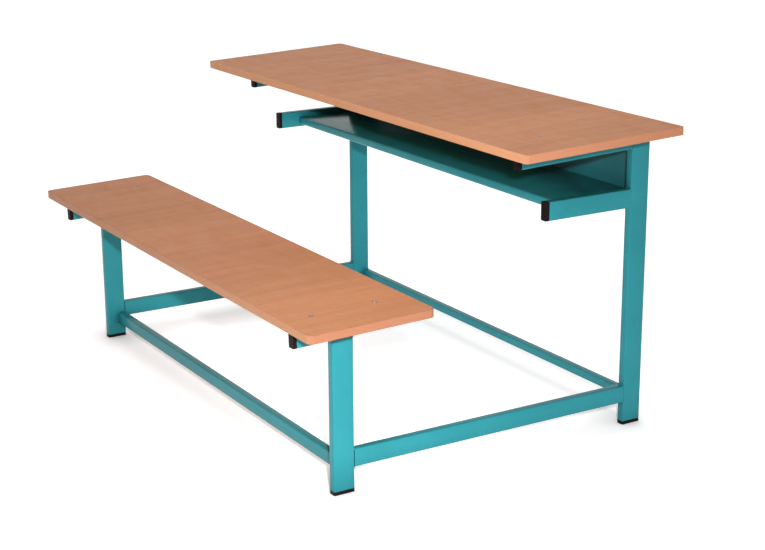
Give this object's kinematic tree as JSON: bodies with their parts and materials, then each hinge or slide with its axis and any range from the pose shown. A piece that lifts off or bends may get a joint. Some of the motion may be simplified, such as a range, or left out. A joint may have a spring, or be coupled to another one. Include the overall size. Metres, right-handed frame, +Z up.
{
  "type": "school desk with bench",
  "caption": "School desk with a joined bench: sloping desktop and seat boards on a welded tube frame, with a sheet-metal book shelf below the desktop.",
  "frame": {"origin": "centre of the bounding box, on the floor", "axes": "+X along the desk's length to the sitter's right, +Y from the bench towards the desk, +Z up"},
  "size_m": [1.5, 0.929, 0.7203],
  "materials": {
    "painted_steel": "satin",
    "beech_board": "satin",
    "edge_band": "satin",
    "black_plastic": "matte",
    "screw_steel": "satin"
  },
  "bodies": {
    "root": {"desktop_board": "beech_board", "desktop_board_edge_band": "edge_band", "desktop_rail": "painted_steel", "desktop_screw_1": "screw_steel", "desktop_screw_2": "screw_steel", "desktop_screw_3": "screw_steel", "desktop_screw_4": "screw_steel", "front_cross_rail": "painted_steel", "left_bench_foot": "black_plastic", "left_bench_leg": "painted_steel", "left_desk_foot": "black_plastic", "left_desk_leg": "painted_steel", "left_desktop_arm": "painted_steel", "left_desktop_arm_cap": "black_plastic", "left_seat_bearer": "painted_steel", "left_seat_bearer_front_cap": "black_plastic", "left_seat_bearer_rear_cap": "black_plastic", "left_shelf_arm": "painted_steel", "left_shelf_arm_cap": "black_plastic", "left_side_rail": "painted_steel", "rear_cross_rail": "painted_steel", "right_bench_foot": "black_plastic", "right_bench_leg": "painted_steel", "right_desk_foot": "black_plastic", "right_desk_leg": "painted_steel", "right_desktop_arm": "painted_steel", "right_desktop_arm_cap": "black_plastic", "right_seat_bearer": "painted_steel", "right_seat_bearer_front_cap": "black_plastic", "right_seat_bearer_rear_cap": "black_plastic", "right_shelf_arm": "painted_steel", "right_shelf_arm_cap": "black_plastic", "right_side_rail": "painted_steel", "seat_board": "beech_board", "seat_board_edge_band": "edge_band", "seat_screw_1": "screw_steel", "seat_screw_2": "screw_steel", "seat_screw_3": "screw_steel", "seat_screw_4": "screw_steel", "shelf_back_panel": "painted_steel", "shelf_tray": "painted_steel"}
  },
  "joints": []
}
